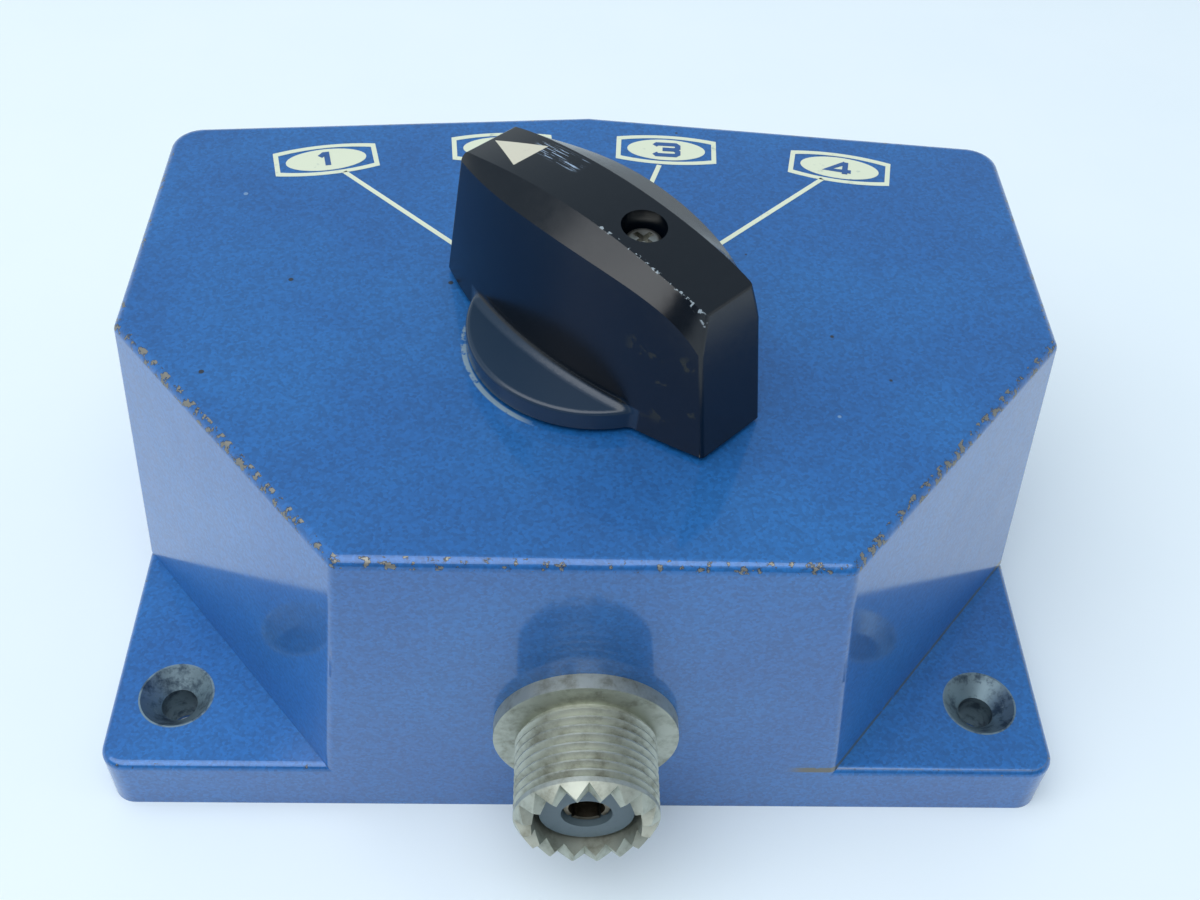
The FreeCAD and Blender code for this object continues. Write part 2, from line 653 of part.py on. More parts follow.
def knob_hub():
    """Brass hub in the knob, with the screw and set screw threads."""
    solid = cylinder(HUB_FLANGE_R, HUB_BOTTOM, HUB_BOTTOM + HUB_FLANGE_THICKNESS)
    solid = solid.fuse(cylinder(HUB_R, HUB_BOTTOM, HUB_BOTTOM + HUB_HEIGHT))
    solid = solid.cut(cylinder(SPINDLE_R + PRESS_GAP, HUB_BOTTOM, HUB_BOTTOM + HUB_HEIGHT))
    at = V(-KNOB_SCREW_OFFSET, 0, 0)
    solid = solid.cut(cylinder(KNOB_SCREW_R + PRESS_GAP, HUB_BOTTOM, HUB_BOTTOM + HUB_HEIGHT, at))
    start = V(0, 0, HUB_BOTTOM + SET_SCREW_HEIGHT)
    return solid.cut(Part.makeCylinder(SET_SCREW_R + PRESS_GAP, HUB_R, start, V(1, 0, 0)))


def hub_set_screw():
    """Set screw in the hub, on the spindle's flat."""
    start = SPINDLE_R - SPINDLE_FLAT
    length = HUB_R - SET_SCREW_SUNK - start
    return Part.makeCylinder(SET_SCREW_R, length, V(start, 0, HUB_BOTTOM + SET_SCREW_HEIGHT), V(1, 0, 0))


def spindle():
    """Steel spindle with a flat for the hub, a clip groove and a square tenon."""
    top = HUB_BOTTOM + HUB_HEIGHT
    solid = cylinder(SPINDLE_R, GROUND_TOP, top)
    flat = block(SPINDLE_R - SPINDLE_FLAT, SPINDLE_R * 2, -SPINDLE_R, SPINDLE_R, HUB_BOTTOM, top)
    groove = tube(SPINDLE_R * 2, SPINDLE_R - CLIP_GROOVE, WHEEL_BOTTOM - CLIP_THICKNESS, WHEEL_BOTTOM)
    half = GROUND_BORE_HALF
    tenon = block(-half, half, -half, half, GROUND_BOTTOM - TENON_LENGTH, GROUND_TOP)
    return solid.cut(flat).cut(groove).fuse(tenon).cut(rotor_pin(PRESS_GAP))


# Bearing, detent and stop

def spindle_bushing():
    """Flanged bearing pressed into the printed wall from inside."""
    top = HOUSING_HEIGHT
    solid = tube(BUSHING_FLANGE_R, SPINDLE_R + RUNNING_GAP, BUSHING_BOTTOM, CEILING)
    return solid.fuse(tube(BUSHING_R, SPINDLE_R + RUNNING_GAP, BUSHING_BOTTOM, top))


def thrust_washer():
    """Washer between the detent wheel and the bearing flange."""
    return tube(THRUST_WASHER_R, SPINDLE_R + SEAT_GAP, WASHER_BOTTOM, WASHER_BOTTOM + THRUST_WASHER_THICKNESS)


def spindle_clip():
    """Open ring in the spindle's groove, under the detent wheel."""
    inner = SPINDLE_R - CLIP_GROOVE + PRESS_GAP
    ring = tube(CLIP_R, inner, WHEEL_BOTTOM - CLIP_THICKNESS + PRESS_GAP, WHEEL_BOTTOM - PRESS_GAP)
    opening = inner * CLIP_OPENING
    return ring.cut(block(-CLIP_R, 0, -opening, opening, WHEEL_BOTTOM - CLIP_THICKNESS, WHEEL_BOTTOM))


def stop_place():
    """Where the stop pin stands, in front of the axis."""
    return AXIS + V(0, -STOP_RADIUS, 0)


def arc_slot(radius, half_width, start, end):
    """Curved slot between two turns from +Y, through the wheel's thickness."""
    bottom, top = WHEEL_BOTTOM, WHEEL_BOTTOM + WHEEL_THICKNESS
    sweep = Part.makeCylinder(radius + half_width, top - bottom, V(0, 0, bottom), V(0, 0, 1), end - start)
    sweep = sweep.cut(cylinder(radius - half_width, bottom, top))
    sweep = spun(sweep, 90 + start)
    for turn in (start, end):
        sweep = sweep.fuse(cylinder(half_width, bottom, top, polar(radius, turn)))
    return sweep


def polar(radius, turn):
    """Plan point at a radius and a turn in degrees from +Y towards -X."""
    angle = math.radians(90 + turn)
    return V(radius * math.cos(angle), radius * math.sin(angle), 0)


def detent_wheel():
    """Wheel with one notch per position and a curved slot that the stop pin limits."""
    bottom, top = WHEEL_BOTTOM, WHEEL_BOTTOM + WHEEL_THICKNESS
    solid = tube(WHEEL_R, SPINDLE_R + PRESS_GAP, bottom, top)
    for number in range(POSITIONS):
        solid = solid.cut(cylinder(NOTCH_R, bottom, top, polar(WHEEL_R, DETENT_STEP_DEG * number)))
    return solid.cut(arc_slot(STOP_RADIUS, STOP_PIN_R + PLAY, 180, 180 + TURN_TOTAL_DEG))


def stop_pin():
    """Pin from the ceiling into the wheel's slot."""
    return cylinder(STOP_PIN_R, WHEEL_BOTTOM, CEILING + STOP_PIN_SINK, stop_place())


def detent_spring():
    """Leaf spring behind the wheel, with a round nose in the notch."""
    bottom, top = WHEEL_BOTTOM, WHEEL_BOTTOM + WHEEL_THICKNESS
    near = WHEEL_R + SPRING_STANDOFF
    leaf = block(-SPRING_HALF_LENGTH, SPRING_SCREW_X + SPRING_BLOCK_WIDTH / 2, near, near + SPRING_THICKNESS,
                 bottom, top)
    tip = WHEEL_R - NOTCH_R + (NOTCH_R - SPRING_NOSE_R) + PLAY
    nose = cylinder(SPRING_NOSE_R, bottom, top, V(0, tip + SPRING_NOSE_R, 0))
    nose = nose.fuse(block(-SPRING_NOSE_R, SPRING_NOSE_R, tip + SPRING_NOSE_R, near, bottom, top))
    return moved(leaf.fuse(nose), AXIS).cut(spring_screw_shape(PRESS_GAP))


def spring_screw_shape(room=0.0):
    """Small cheese-head screw that holds the spring to its block."""
    face = AXIS.y + WHEEL_R + SPRING_STANDOFF
    at = V(SPRING_SCREW_X, face, WHEEL_BOTTOM + WHEEL_THICKNESS / 2)
    length = SPRING_SCREW_GRIP + SPRING_THICKNESS
    shank = Part.makeCylinder(SPRING_SCREW_R + room, length, at, V(0, 1, 0))
    if room:
        return shank
    head = Part.makeCylinder(SPRING_SCREW_HEAD_R, SPRING_SCREW_HEAD_HEIGHT, at, V(0, -1, 0))
    slot = block(at.x - SPRING_SCREW_HEAD_R, at.x + SPRING_SCREW_HEAD_R, face - SPRING_SCREW_HEAD_HEIGHT,
                 face - SPRING_SCREW_HEAD_HEIGHT / 2, at.z - SPRING_SCREW_R / 4, at.z + SPRING_SCREW_R / 4)
    return shank.fuse(head).cut(slot)


# Switching parts

def strip_between(start, end, end_radius, bottom):
    """Flat strip from a tail to a round pad."""
    along = end - start
    along.z = 0
    side = V(-along.y, along.x, 0).normalize() * (STRIP_WIDTH / 2)
    low = V(0, 0, bottom)
    plan = [start + side + low, start - side + low, end - side + low, end + side + low]
    plan = [V(p.x, p.y, bottom) for p in plan]
    solid = prism(plan, STRIP_THICKNESS)
    solid = solid.fuse(cylinder(STRIP_WIDTH / 2, bottom, bottom + STRIP_THICKNESS, start))
    return solid.fuse(cylinder(end_radius, bottom, bottom + STRIP_THICKNESS, end)).removeSplitter()


def port_strip(number, place):
    """Strip from a rear contact's tail to its fixed pad."""
    _, point, turn = place
    inward = spun(Part.Vertex(0, 1, 0), turn).Point
    flat_start = TAIL_END - TAIL_FLAT_LENGTH + SEAT_GAP
    start = V(point.x, point.y, 0) + inward * (flat_start + STRIP_WIDTH / 2)
    middle = (POSITIONS - 1) / 2
    end = AXIS + polar(PAD_RADIUS, (middle - number) * DETENT_STEP_DEG)
    return strip_between(start, V(end.x, end.y, 0), PAD_R, STRIP_BOTTOM)


def common_strip():
    """Bent strip from the common contact's tail down to the rotor's stud."""
    half = STRIP_WIDTH / 2
    near = FRONT_Y + TAIL_END - TAIL_FLAT_LENGTH
    bend = FRONT_Y + TAIL_END + STRIP_THICKNESS
    thick = STRIP_THICKNESS
    side = [V(-half, near, STRIP_BOTTOM), V(-half, near, STRIP_TOP), V(-half, bend + thick, STRIP_TOP),
            V(-half, bend + thick, EYELET_TOP), V(-half, AXIS.y, EYELET_TOP),
            V(-half, AXIS.y, EYELET_TOP - thick),
            V(-half, bend, EYELET_TOP - thick), V(-half, bend, STRIP_BOTTOM)]
    solid = prism(side, STRIP_WIDTH, V(1, 0, 0))
    solid = solid.fuse(cylinder(EYELET_R, EYELET_TOP - thick, EYELET_TOP, AXIS)).removeSplitter()
    return solid.cut(cylinder(STUD_R + CONTACT_AIR, EYELET_TOP - thick, EYELET_TOP, AXIS))


def fan(radius, start, end, bottom, top):
    """Sector of a disc between two turns from the pointer."""
    sector = Part.makeCylinder(radius, top - bottom, V(0, 0, bottom), V(0, 0, 1), end - start)
    return spun(sector, start)


def ground_plate():
    """Plate that grounds the ports not in use: two fans on a round middle."""
    low, high = GROUND_BOTTOM, GROUND_TOP
    solid = cylinder(GROUND_HUB_R, low, high)
    solid = solid.fuse(fan(GROUND_R, GROUND_HALF_WINDOW_DEG, GROUND_END_DEG, low, high))
    solid = solid.fuse(fan(GROUND_R, -GROUND_END_DEG, -GROUND_HALF_WINDOW_DEG, low, high)).removeSplitter()
    half = GROUND_BORE_HALF + PRESS_GAP
    return solid.cut(block(-half, half, -half, half, low, high))


def rotor_insulator():
    """Insulating hub between the spindle's tenon and the blade."""
    half = GROUND_BORE_HALF + PRESS_GAP
    solid = cylinder(ROTOR_R, ROTOR_BOTTOM, GROUND_BOTTOM)
    tenon_foot = GROUND_BOTTOM - TENON_LENGTH - PRESS_GAP
    solid = solid.cut(block(-half, half, -half, half, tenon_foot, GROUND_BOTTOM))
    solid = solid.cut(cylinder(STUD_NECK_R + PRESS_GAP, ROTOR_BOTTOM, GROUND_BOTTOM - TENON_LENGTH))
    return solid.cut(rotor_pin(PRESS_GAP))


def rotor_pin(room=0.0):
    """Cross pin through the insulating hub and the tenon."""
    height = GROUND_BOTTOM - TENON_LENGTH / 2
    return Part.makeCylinder(ROTOR_PIN_R + room, ROTOR_R * 2, V(0, -ROTOR_R, height), V(0, 1, 0))


def rotor_blade():
    """Bent contact blade from the stud up to the fixed pads."""
    half = BLADE_WIDTH / 2
    thick = STRIP_THICKNESS
    foot = ROTOR_R + 1
    rise = BLADE_TOP - ROTOR_BOTTOM
    head = foot + rise
    side = [V(-BLADE_BACK, -half, ROTOR_BOTTOM), V(foot, -half, ROTOR_BOTTOM), V(head, -half, BLADE_TOP),
            V(PAD_RADIUS + PAD_R, -half, BLADE_TOP), V(PAD_RADIUS + PAD_R, -half, BLADE_TOP - thick),
            V(head, -half, BLADE_TOP - thick), V(foot, -half, ROTOR_BOTTOM - thick),
            V(-BLADE_BACK, -half, ROTOR_BOTTOM - thick)]
    return prism(side, BLADE_WIDTH, V(0, 1, 0)).cut(cylinder(STUD_NECK_R + PRESS_GAP, STUD_TOP, ROTOR_BOTTOM))


def blade_stud():
    """Shouldered stud under the blade that turns in the common strip."""
    solid = cylinder(STUD_R, STUD_TOP - STUD_LENGTH, STUD_TOP)
    neck = GROUND_BOTTOM - TENON_LENGTH - PRESS_GAP
    solid = solid.fuse(cylinder(STUD_NECK_R, STUD_TOP, neck))
    groove_foot = stud_clip_top() - STUD_CLIP_THICKNESS
    return solid.cut(tube(STUD_R * 2, STUD_R - STUD_GROOVE, groove_foot, stud_clip_top()))


def stud_clip_top():
    """Height of the upper face of the clip, just under the common strip."""
    return EYELET_TOP - STRIP_THICKNESS - PLAY


def stud_clip():
    """Open ring that keeps the common strip on the stud."""
    inner = STUD_R - STUD_GROOVE + PRESS_GAP
    top = stud_clip_top() - PRESS_GAP
    low = stud_clip_top() - STUD_CLIP_THICKNESS + PRESS_GAP
    ring = tube(STUD_CLIP_R, inner, low, top)
    return ring.cut(block(-STUD_CLIP_R, 0, -inner * CLIP_OPENING, inner * CLIP_OPENING, low, top))


def main():
    """Build and write every piece."""
    os.makedirs("parts", exist_ok=True)
    save("housing", housing())
    save("bottom_cover", bottom_cover())
    save("cover_screws", Part.makeCompound([cover_screw(at) for at in boss_places()]))
    save_ports()
    for name, make in (("knob", knob), ("pointer_mark", pointer_mark), ("knob_screw", knob_screw),
                       ("knob_hub", knob_hub), ("hub_set_screw", hub_set_screw), ("spindle", spindle),
                       ("ground_plate", ground_plate), ("rotor_insulator", rotor_insulator),
                       ("rotor_pin", rotor_pin), ("rotor_blade", rotor_blade), ("blade_stud", blade_stud),
                       ("stud_clip", stud_clip), ("thrust_washer", thrust_washer),
                       ("spindle_clip", spindle_clip)):
        save(name, at_knob(make()))
    save("detent_wheel", moved(detent_wheel(), AXIS))
    save("spindle_bushing", moved(spindle_bushing(), AXIS))
    save("stop_pin", stop_pin())
    save("detent_spring", detent_spring())
    save("detent_spring_screw", spring_screw_shape())
    save("common_strip", common_strip())
    for number, place in enumerate(list(port_places())[1:]):
        save(f"port_strip_{number + 1}", port_strip(number, place))
    print("axis", AXIS, "front", FRONT_Y, "knob top", KNOB_TOP, "port height", PORT_HEIGHT)


main()
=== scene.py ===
"""Looks of a four-way coaxial antenna switch: paint, print, knob, connectors, light and camera.

Sizes in the classes are millimetres and are turned to metres by MM. The switch itself comes from the
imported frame; this script dresses its pieces and adds the print on the top face.
"""

import json
import logging
import math
from dataclasses import dataclass, field
from enum import Enum

import bmesh
import bpy
from mathutils import Matrix, Vector


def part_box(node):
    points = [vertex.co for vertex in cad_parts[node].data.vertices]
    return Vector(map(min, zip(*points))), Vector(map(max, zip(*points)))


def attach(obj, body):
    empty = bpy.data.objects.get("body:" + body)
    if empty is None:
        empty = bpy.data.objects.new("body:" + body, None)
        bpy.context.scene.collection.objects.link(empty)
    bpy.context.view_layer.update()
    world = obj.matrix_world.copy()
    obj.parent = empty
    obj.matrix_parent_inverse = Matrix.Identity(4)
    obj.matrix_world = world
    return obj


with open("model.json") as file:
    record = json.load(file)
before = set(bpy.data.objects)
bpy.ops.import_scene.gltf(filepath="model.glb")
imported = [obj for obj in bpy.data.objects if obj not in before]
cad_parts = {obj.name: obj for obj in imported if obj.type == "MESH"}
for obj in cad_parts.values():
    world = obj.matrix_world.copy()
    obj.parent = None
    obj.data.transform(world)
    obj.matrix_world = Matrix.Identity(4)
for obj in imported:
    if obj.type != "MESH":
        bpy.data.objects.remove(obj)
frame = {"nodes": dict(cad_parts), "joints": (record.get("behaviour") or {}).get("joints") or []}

MM = 0.001
LOG = logging.getLogger("antenna_switch")
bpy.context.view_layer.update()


class Body(Enum):
    """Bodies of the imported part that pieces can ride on."""

    CASE = "case"
    ROTOR = "rotor"


def linear(code: str) -> tuple[float, float, float, float]:
    """Turn an sRGB hex colour to linear light.

    Args:
        code: Colour such as "#3464A6".

    Returns:
        Linear red, green, blue and an alpha of 1.
    """
    parts = [int(code[i:i + 2], 16) / 255 for i in (1, 3, 5)]
    lin = [c / 12.92 if c <= 0.04045 else ((c + 0.055) / 1.055) ** 2.4 for c in parts]
    return lin[0], lin[1], lin[2], 1.0


def add(tree: bpy.types.NodeTree, kind: str, inputs: dict | None = None, **settings) -> bpy.types.Node:
    """Add one shader node with its settings and links.

    Args:
        tree: Node tree that gets the node.
        kind: Node type without the "ShaderNode" prefix.
        inputs: Socket name or number to a value, or to the socket that feeds it.
        settings: Node properties to set.

    Returns:
        The new node.
    """
    made = tree.nodes.new("ShaderNode" + kind)
    for name, value in settings.items():
        setattr(made, name, value)
    for key, value in (inputs or {}).items():
        if isinstance(value, bpy.types.NodeSocket):
            tree.links.new(value, made.inputs[key])
        else:
            made.inputs[key].default_value = value
    return made


def local(tree: bpy.types.NodeTree, origin: tuple, turn: float = 0.0) -> bpy.types.NodeSocket:
    """Coordinates in millimetres about a point of the part.

    Args:
        tree: Node tree.
        origin: Point in millimetres, in the frame's own axes.
        turn: Turn of the axes about +Z, in degrees.

    Returns:
        Vector socket.
    """
    place = add(tree, "TexCoord").outputs["Object"]
    moved = add(tree, "Mapping", {"Vector": place, "Location": Vector(origin) * MM, "Scale": (MM, MM, MM),
                                  "Rotation": (0, 0, math.radians(turn))}, vector_type="TEXTURE")
    return moved.outputs[0]


def band(tree: bpy.types.NodeTree, value: bpy.types.NodeSocket, low: float, high: float,
         soft: float) -> bpy.types.NodeSocket:
    """Mask that is 1 between two limits and fades over a soft width outside them.

    Args:
        tree: Node tree.
        value: Value to test.
        low: Lower limit.
        high: Upper limit.
        soft: Width of the fade.

    Returns:
        Socket that runs from 0 to 1.
    """
    rise = add(tree, "MapRange", {0: value, 1: low - soft, 2: low}, interpolation_type="SMOOTHSTEP")
    fall = add(tree, "MapRange", {0: value, 1: high + soft, 2: high}, interpolation_type="SMOOTHSTEP")
    return meet(tree, rise.outputs[0], fall.outputs[0])


def meet(tree: bpy.types.NodeTree, *masks: bpy.types.NodeSocket | float) -> bpy.types.NodeSocket:
    """Mask of the places that all the given masks share.

    Args:
        tree: Node tree.
        masks: Masks, or plain shares.

    Returns:
        Product of the masks.
    """
    total = masks[0]
    for mask in masks[1:]:
        total = add(tree, "Math", {0: total, 1: mask}, operation="MULTIPLY").outputs[0]
    return total


def layer(tree: bpy.types.NodeTree, under: bpy.types.NodeSocket | str, over: bpy.types.NodeSocket | str,
          mask: bpy.types.NodeSocket, low: float = 0.0, high: float = 1.0) -> bpy.types.NodeSocket:
    """Lay one colour over another where a mask is high.

    Args:
        tree: Node tree.
        under: Colour socket or sRGB hex of the lower colour.
        over: Colour socket or sRGB hex of the upper colour.
        mask: Mask.
        low: Mask value where the upper colour starts.
        high: Mask value where it covers.

    Returns:
        Colour socket.
    """
    share = add(tree, "MapRange", {0: mask, 1: low, 2: high}, interpolation_type="SMOOTHSTEP").outputs[0]
    colours = [linear(c) if isinstance(c, str) else c for c in (under, over)]
    return add(tree, "Mix", {0: share, 6: colours[0], 7: colours[1]}, data_type="RGBA").outputs[2]


def blank_material(name: str) -> tuple[bpy.types.Material, bpy.types.NodeTree, bpy.types.Node]:
    """Make a material with a Principled shader on its output.

    Args:
        name: Name of the material.

    Returns:
        The material, its tree and its shader node.
    """
    material = bpy.data.materials.new(name)
    material.use_nodes = True
    tree = material.node_tree
    return material, tree, tree.nodes["Principled BSDF"]


def settle(shader: bpy.types.Node, **values: float) -> None:
    """Set plain values on a Principled shader's own sockets.

    Args:
        shader: Principled shader node.
        values: Socket name, with underscores for spaces, to its value.
    """
    for name, value in values.items():
        shader.inputs[name.replace("_", " ").title().replace("Ior", "IOR")].default_value = value


@dataclass(frozen=True)
class FlakeEnamel:
    """Sprayed enamel with fine aluminium flake over a zinc casting, under a glossy clear top.

    The flake gives a faint sparkle inside the blue and the clear top mirrors the floor on the walls.
    The top edges are knocked bare with old dirt round each chip, and the mounting dishes are rubbed
    down to the metal.
    """

    colour: str = "#1A66AB"
    deep: str = "#165EA3"
    bare: str = "#8D8B84"
    grime: str = "#1E2A3A"
    dish: str = "#7D919B"
    stain: str = "#5E5A44"
    ring_colour: str = "#8FA6B4"
    # The real flake is about 0.05 mm across: it is drawn coarser so that it shows.
    flake_mm: float = 0.34
    cloud_mm: float = 18.0
    peel_mm: float = 1.1
    chip_mm: float = 1.0
    grime_level: float = 0.58
    bare_level: float = 0.61
    bare_full: float = 0.64
    speck_mm: float = 7.0
    ring_r_mm: float = 14.3
    ring_width_mm: float = 0.4
    dish_out_mm: float = 49.2
    dish_in_mm: float = 9.8
    dish_r_mm: float = 4.45

    def build(self) -> bpy.types.Material:
        """Make the material.

        Returns:
            Material for the housing.
        """
        material, tree, shader = blank_material("sprayed_flake_enamel_under_clear")
        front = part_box("housing")[0].y / MM
        place = local(tree, (0, front, 0))
        axes = add(tree, "SeparateXYZ", {0: place}).outputs
        facing = add(tree, "SeparateXYZ", {0: add(tree, "TexCoord").outputs["Normal"]}).outputs["Z"]
        chips, dish = self.chips(tree, place, axes, facing), self.dish_mask(tree, axes)
        tree.links.new(self.colours(tree, place, axes, facing, chips, dish), shader.inputs["Base Color"])
        bare = add(tree, "MapRange", {0: chips, 1: self.bare_level, 2: self.bare_full}).outputs[0]
        worn = add(tree, "Math", {0: bare, 1: dish}, operation="MAXIMUM").outputs[0]
        for mask, socket, low, high in ((worn, "Metallic", 0.3, 0.85), (worn, "Coat Weight", 0.95, 0.0)):
            tree.links.new(add(tree, "MapRange", {0: mask, 3: low, 4: high}).outputs[0], shader.inputs[socket])
        haze = add(tree, "TexNoise", {"Vector": place, "Scale": 0.22, "Detail": 4.0}).outputs[0]
        for mask, socket, low, high in ((haze, "Roughness", 0.4, 0.52), (haze, "Coat Roughness", 0.05, 0.12)):
            tree.links.new(add(tree, "MapRange", {0: mask, 3: low, 4: high}).outputs[0], shader.inputs[socket])
        self.relief(tree, shader, place, bare)
        return material

    def colours(self, tree: bpy.types.NodeTree, place: bpy.types.NodeSocket, axes: list,
                facing: bpy.types.NodeSocket, chips: bpy.types.NodeSocket,
                dish: bpy.types.NodeSocket) -> bpy.types.NodeSocket:
        """Colour of the paint with all that has happened to it.

        Args:
            tree: Node tree.
            place: Place in millimetres from the middle of the front foot.
            axes: The same, as three sockets.
            facing: Height share of the surface normal.
            chips: Chip mask.
            dish: Mask of the mounting dishes.

        Returns:
            Colour socket.
        """
        cloud = add(tree, "TexNoise", {"Vector": place, "Scale": 1 / self.cloud_mm, "Detail": 3.0}).outputs[0]
        tone = layer(tree, self.deep, self.colour, cloud, 0.35, 0.7)
        flake = add(tree, "TexVoronoi", {"Vector": place, "Scale": 1 / self.flake_mm})
        glint = add(tree, "SeparateColor", {0: flake.outputs["Color"]}).outputs[0]
        bright = add(tree, "MapRange", {0: glint, 3: 0.82, 4: 1.2}).outputs[0]
        paint = add(tree, "HueSaturation", {"Value": bright, "Color": tone}).outputs[0]
        speck = add(tree, "TexVoronoi", {"Vector": place, "Scale": 1 / self.speck_mm})
        rare = add(tree, "SeparateColor", {0: speck.outputs["Color"]}).outputs
        dot = meet(tree, band(tree, speck.outputs["Distance"], -1, 0.035, 0.02),
                   band(tree, rare[0], 0.6, 1, 0.02), band(tree, facing, 0.98, 1, 0.01))
        paint = layer(tree, paint, self.grime, meet(tree, dot, band(tree, rare[1], 0.35, 1, 0.02)))
        paint = layer(tree, paint, "#7FA0C4", meet(tree, dot, band(tree, rare[1], 0, 0.33, 0.02), 0.7))
        rub = add(tree, "TexNoise", {"Vector": place, "Scale": 0.45, "Detail": 6.0,
                                     "Roughness": 0.7}).outputs[0]
        foot = meet(tree, band(tree, axes["Z"], 8.4, 9.1, 0.35), band(tree, axes["X"], 27, 60, 4),
                    band(tree, facing, -0.3, 0.9, 0.05))
        paint = layer(tree, paint, self.stain, meet(tree, foot, band(tree, rub, 0.44, 1, 0.1)))
        paint = layer(tree, paint, self.ring_colour, self.pale_ring(tree, rub, facing))
        paint = layer(tree, paint, self.grime, chips, self.grime_level, self.bare_level)
        paint = layer(tree, paint, self.bare, chips, self.bare_level, self.bare_full)
        metal = layer(tree, self.dish, "#465664", rub, 0.45, 0.65)
        return layer(tree, paint, metal, dish)

    def pale_ring(self, tree: bpy.types.NodeTree, rub: bpy.types.NodeSocket,
                  facing: bpy.types.NodeSocket) -> bpy.types.NodeSocket:
        """Mask of a pale ring on the paint round the left side of the knob.

        Args:
            tree: Node tree.
            rub: Patchy noise.
            facing: Height share of the surface normal.

        Returns:
            Mask socket.
        """
        axis = Vector(frame["joints"][0]["pos_m"]) / MM
        around = local(tree, tuple(axis))
        flat = add(tree, "VectorMath", {0: around, 1: (1, 1, 0)}, operation="MULTIPLY").outputs[0]
        away = add(tree, "VectorMath", {0: flat}, operation="LENGTH").outputs["Value"]
        side = add(tree, "SeparateXYZ", {0: around}).outputs["X"]
        edge = band(tree, away, self.ring_r_mm, self.ring_r_mm + self.ring_width_mm, 0.2)
        return meet(tree, edge, band(tree, rub, 0.47, 1, 0.08),
                    band(tree, side, -40, -9, 4), band(tree, facing, 0.99, 1, 0.01), 0.8)

    def chips(self, tree: bpy.types.NodeTree, place: bpy.types.NodeSocket, axes: list,
              facing: bpy.types.NodeSocket) -> bpy.types.NodeSocket:
        """Mask of the knocked edges: high where a rounded edge and a patch of noise meet.

        Args:
            tree: Node tree.
            place: Place in millimetres from the middle of the front foot.
            axes: The same, as three sockets.
            facing: Height share of the surface normal.

        Returns:
            Socket from 0, sound paint, to 1, bare casting.
        """
        patch = add(tree, "TexNoise", {"Vector": place, "Scale": 1 / self.chip_mm, "Detail": 5.0,
                                       "Roughness": 0.62}).outputs[0]
        upper = meet(tree, band(tree, facing, 0.2, 0.97, 0.04), band(tree, axes["Z"], 44, 50, 1))
        lower = meet(tree, band(tree, facing, 0.3, 0.9, 0.05), band(tree, axes["Z"], 6, 9, 0.3), 0.86)
        edge = add(tree, "Math", {0: upper, 1: lower}, operation="MAXIMUM").outputs[0]
        out = add(tree, "Math", {0: axes["X"]}, operation="ABSOLUTE").outputs[0]
        more = meet(tree, band(tree, out, 20, 60, 8), band(tree, axes["Y"], -5, 36, 4), 0.06)
        level = add(tree, "Math", {0: patch, 1: more}, operation="ADD").outputs[0]
        return meet(tree, edge, level)

    def dish_mask(self, tree: bpy.types.NodeTree, axes: list) -> bpy.types.NodeSocket:
        """Mask of the two sunk mounting holes in the ears.

        Args:
            tree: Node tree.
            axes: Place in millimetres from the middle of the front foot, as three sockets.

        Returns:
            Mask socket.
        """
        out = add(tree, "Math", {0: axes["X"]}, operation="ABSOLUTE").outputs[0]
        flat = add(tree, "CombineXYZ", {0: out, 1: axes["Y"]}).outputs[0]
        middle = (self.dish_out_mm, self.dish_in_mm, 0)
        away = add(tree, "VectorMath", {0: flat, 1: middle}, operation="DISTANCE").outputs["Value"]
        return meet(tree, band(tree, away, -1, self.dish_r_mm, 0.12), band(tree, axes["Z"], 0.5, 9, 0.2))

    def relief(self, tree: bpy.types.NodeTree, shader: bpy.types.Node, place: bpy.types.NodeSocket,
               bare: bpy.types.NodeSocket) -> None:
        """Give the paint its faint peel and sink the chips.

        Args:
            tree: Node tree.
            shader: Principled shader node.
            place: Place in millimetres.
            bare: Mask of the bare patches.
        """
        peel = add(tree, "TexNoise", {"Vector": place, "Scale": 1 / self.peel_mm, "Detail": 1.0}).outputs[0]
        bump = add(tree, "Bump", {"Height": peel, "Strength": 0.05, "Distance": 0.05 * MM}).outputs[0]
        pit = add(tree, "Bump", {"Height": bare, "Strength": 0.6, "Distance": 0.1 * MM, "Normal": bump},
                  invert=True)
        tree.links.new(pit.outputs[0], shader.inputs["Normal"])
        tree.links.new(bump, shader.inputs["Coat Normal"])


@dataclass(frozen=True)
class TurnedMetal:
    """Turned or stamped metal, plated or plain: a tint, a dull film and fine tool lines."""

    name: str
    colour: str
    stain: str
    roughness: float = 0.35
    stain_mm: float = 2.5
    # Real tool lines are about 0.03 mm apart: they are drawn coarser so that they show.
    grain_mm: float = 0.12

    def build(self) -> bpy.types.Material:
        """Make the material.

        Returns:
            Material for a metal piece.
        """
        material, tree, shader = blank_material(self.name)
        place = add(tree, "TexCoord").outputs["Object"]
        film = add(tree, "TexNoise", {"Vector": place, "Scale": 1 / (self.stain_mm * MM), "Detail": 6.0,
                                      "Roughness": 0.65}).outputs[0]
        tree.links.new(layer(tree, self.colour, self.stain, film, 0.42, 0.76), shader.inputs["Base Color"])
        dull = add(tree, "MapRange", {0: film, 3: self.roughness - 0.08, 4: self.roughness + 0.14}).outputs[0]
        tree.links.new(dull, shader.inputs["Roughness"])
        settle(shader, metallic=1.0)
        grain = add(tree, "TexNoise", {"Vector": place, "Scale": 1 / (self.grain_mm * MM),
                                       "Detail": 2.0}).outputs[0]
        bump = add(tree, "Bump", {"Height": grain, "Strength": 0.25, "Distance": 0.02 * MM})
        tree.links.new(bump.outputs[0], shader.inputs["Normal"])
        return material


